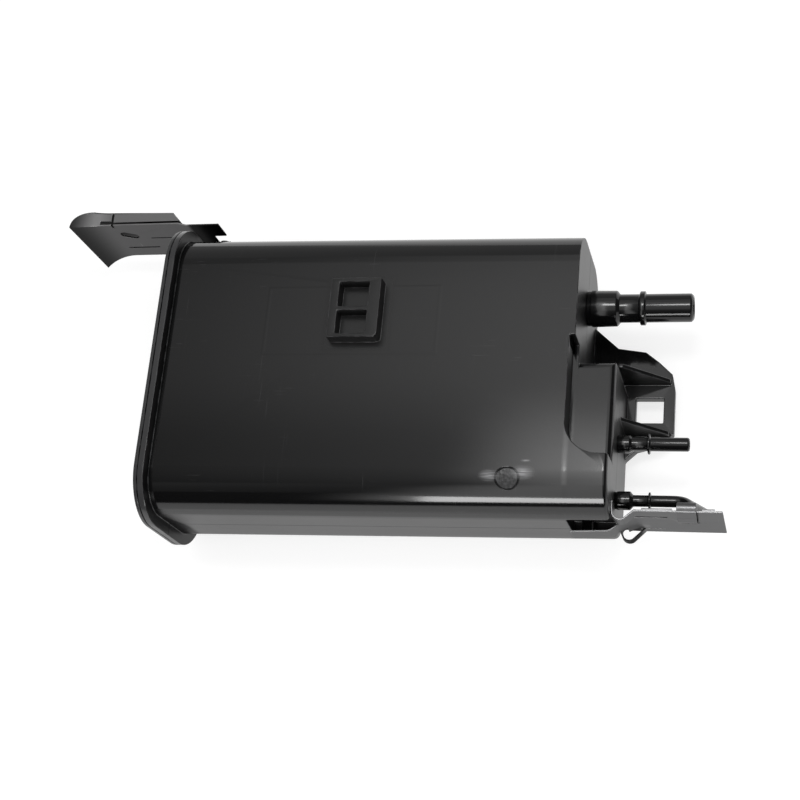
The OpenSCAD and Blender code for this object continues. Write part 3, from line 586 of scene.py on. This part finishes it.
straight = (1e6, 1, 1)
elbow = {"start": 365, "radius": 8, "turn": math.radians(66), "leg": 26}
elbowEnd = elbow["start"] + elbow["radius"] * elbow["turn"] + elbow["leg"]
spigots = [
    {"name": "ventSpigot", "node": "vent_spigot", "across": 59, "bore": 7.8, "soft": 0.5, "around": 96,
     "bend": straight, "outside": [
         (297.5, 10.8), (300.5, 10.8), (300.5, 12.2), (303.5, 12.2), (303.5, 12.9), (321.3, 12.6), (323.3, 10),
         (337, 10), (337.4, 12), (340.9, 12), (341.3, 10), (372.4, 10), (374, 8.5)]},
    {"name": "tankSpigot", "node": "tank_spigot", "across": -41, "bore": 3.045, "soft": 0.35, "around": 72,
     "bend": straight, "outside": [
         (323, 5.545), (326, 5.545), (326, 6.345), (334, 6.145), (335.5, 4.745), (346, 4.745), (346.3, 6.945),
         (347.7, 6.945), (348, 4.745), (373, 4.745), (374, 3.945)]},
    {"name": "purgeSpigot", "node": "purge_spigot", "across": -81.008, "bore": 2.545, "soft": 0.35, "around": 72,
     "bend": (elbow["start"], elbow["radius"], elbow["turn"]), "outside": [
         (323, 4.745), (326, 4.745), (326, 5.745), (328, 6.345), (336, 6.345), (338, 3.945), (348, 3.945),
         (348.3, 5.945), (349.4, 5.945), (349.7, 3.945), (elbowEnd, 3.945)]}]
for cfg in spigots:
    sweptTube(cfg)

# inner nodes keep their own shape and take their finish
insideOf = {
    "carbonGranules": ("main_carbon_bed", "vent_carbon_bed"),
    "fleecePad": ("main_cover_pad", "main_port_pad", "vent_cover_pad", "vent_port_pad"),
    "gridPlastic": ("main_retainer", "vent_retainer", "main_grid", "vent_grid")}
for finish, nodeNames in insideOf.items():
    for nodeName in nodeNames:
        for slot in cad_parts[nodeName].material_slots:
            slot.material = insideMats[finish]


# round wire springs, wound by a node tree along a spiral

springSizes = {"Radius": 0.012, "Wire": 0.001, "Turns": 4.0, "Length": 0.016}
springPieces = {"main_spring_near": "springNear", "main_spring_far": "springFar", "vent_spring": "springVent"}
coilTree = bpy.data.node_groups.new("woundSpring", "GeometryNodeTree")
for label, kind in (("Radius", "Float"), ("Wire", "Float"), ("Turns", "Float"), ("Length", "Float"),
                    ("Start", "Vector"), ("Finish", "Material")):
    coilTree.interface.new_socket(label, in_out="INPUT", socket_type="NodeSocket" + kind)
coilTree.interface.new_socket("Geometry", in_out="OUTPUT", socket_type="NodeSocketGeometry")
cin = coilTree.nodes.new("NodeGroupInput").outputs
spiral = addNode(coilTree, "GeometryNodeCurveSpiral", {
    "Resolution": 40, "Rotations": cin["Turns"], "Start Radius": cin["Radius"], "End Radius": cin["Radius"],
    "Height": cin["Length"]})
section = addNode(coilTree, "GeometryNodeCurvePrimitiveCircle", {"Resolution": 12, "Radius": cin["Wire"]})
wire = addNode(coilTree, "GeometryNodeCurveToMesh", {
    "Curve": spiral.outputs[0], "Profile Curve": section.outputs[0], "Fill Caps": True})
laid = addNode(coilTree, "GeometryNodeTransform", {
    "Geometry": wire.outputs[0], "Translation": cin["Start"], "Rotation": (0, math.pi / 2, 0)})
real = addNode(coilTree, "GeometryNodeRealizeInstances", {0: laid.outputs[0]})
painted = addNode(coilTree, "GeometryNodeSetMaterial", {"Geometry": real.outputs[0], "Material": cin["Finish"]})
coilOut = coilTree.nodes.new("NodeGroupOutput")
coilTree.links.new(painted.outputs[0], coilOut.inputs["Geometry"])
for nodeName, name in springPieces.items():
    low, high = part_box(nodeName)
    piece = bpy.data.objects.new(name, bpy.data.meshes.new(name + "Base"))
    scene.collection.objects.link(piece)
    mod = piece.modifiers.new("wound", "NODES")
    mod.node_group = coilTree
    start = Vector((low.x + springSizes["Wire"], (low.y + high.y) / 2, (low.z + high.z) / 2))
    values = dict(springSizes, Start=start, Finish=springWire)
    for item in coilTree.interface.items_tree:
        if item.in_out == "INPUT":
            mod[item.identifier] = values[item.name]
    wound = bpy.data.meshes.new_from_object(piece.evaluated_get(bpy.context.evaluated_depsgraph_get()))
    piece.modifiers.clear()
    piece.data = wound
    for poly in wound.polygons:
        poly.use_smooth = True
    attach(piece, "root")
    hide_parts(nodeName)
print("springs wound")
